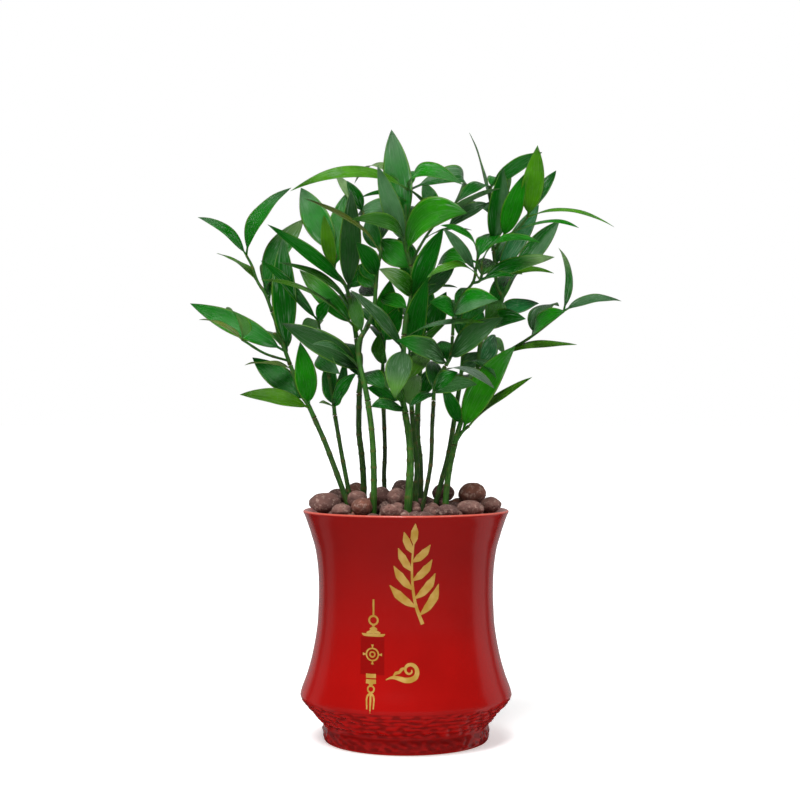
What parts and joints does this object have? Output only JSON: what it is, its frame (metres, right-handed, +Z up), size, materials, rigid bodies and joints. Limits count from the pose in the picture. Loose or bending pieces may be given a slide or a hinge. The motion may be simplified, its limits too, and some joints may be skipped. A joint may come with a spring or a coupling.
{
  "type": "potted nagi tree",
  "caption": "Bulging footed ceramic pot with clay pebbles and a cluster of slender green seedlings carrying pointed leathery leaves.",
  "frame": {"origin": "middle of the pot's flat base, on the surface it stands on", "axes": "+Z up along the pot's axis, front towards -Y, +X to the right seen from the front"},
  "size_m": [0.2744, 0.146, 0.3889],
  "materials": {
    "pot_glaze": "gloss red glaze",
    "gilt": "satin painted gilding",
    "growing_medium": "damp and crumbly",
    "fired_clay": "matt, porous",
    "green_stem": "smooth young green bark",
    "leaf": "waxy and leathery with fine parallel veins"
  },
  "bodies": {
    "root": {"pot": "pot_glaze", "growing_medium": "growing_medium", "pebble_bed": "fired_clay", "clay_pebble_01": "fired_clay", "clay_pebble_02": "fired_clay", "clay_pebble_03": "fired_clay", "clay_pebble_04": "fired_clay", "clay_pebble_05": "fired_clay", "clay_pebble_06": "fired_clay", "clay_pebble_07": "fired_clay", "clay_pebble_08": "fired_clay", "clay_pebble_09": "fired_clay", "clay_pebble_10": "fired_clay", "clay_pebble_11": "fired_clay", "clay_pebble_12": "fired_clay", "clay_pebble_13": "fired_clay", "clay_pebble_14": "fired_clay", "clay_pebble_15": "fired_clay", "clay_pebble_16": "fired_clay", "stem_01": "green_stem", "stem_02": "green_stem", "stem_03": "green_stem", "stem_04": "green_stem", "stem_05": "green_stem", "stem_06": "green_stem", "stem_07": "green_stem", "stem_08": "green_stem", "stem_09": "green_stem", "stem_10": "green_stem", "stem_11": "green_stem", "leaf_spray_01_low": "leaf", "leaf_spray_01_mid": "leaf", "leaf_spray_01_top": "leaf", "leaf_spray_02_low": "leaf", "leaf_spray_02_top": "leaf", "leaf_spray_03_low": "leaf", "leaf_spray_03_mid": "leaf", "leaf_spray_03_top": "leaf", "leaf_spray_04_low": "leaf", "leaf_spray_04_mid": "leaf", "leaf_spray_04_top": "leaf", "leaf_spray_05": "leaf", "leaf_spray_06_high": "leaf", "leaf_spray_06_low": "leaf", "leaf_spray_06_mid": "leaf", "leaf_spray_06_top": "leaf", "leaf_spray_07": "leaf", "leaf_spray_08": "leaf", "leaf_spray_09_high": "leaf", "leaf_spray_09_low": "leaf", "leaf_spray_09_mid": "leaf", "leaf_spray_09_top": "leaf", "leaf_spray_10": "leaf", "leaf_spray_11_fork": "leaf", "leaf_spray_11_high": "leaf", "leaf_spray_11_low": "leaf", "leaf_spray_11_mid": "leaf", "leaf_spray_11_side": "leaf", "leaf_spray_11_top": "leaf"}
  },
  "joints": []
}
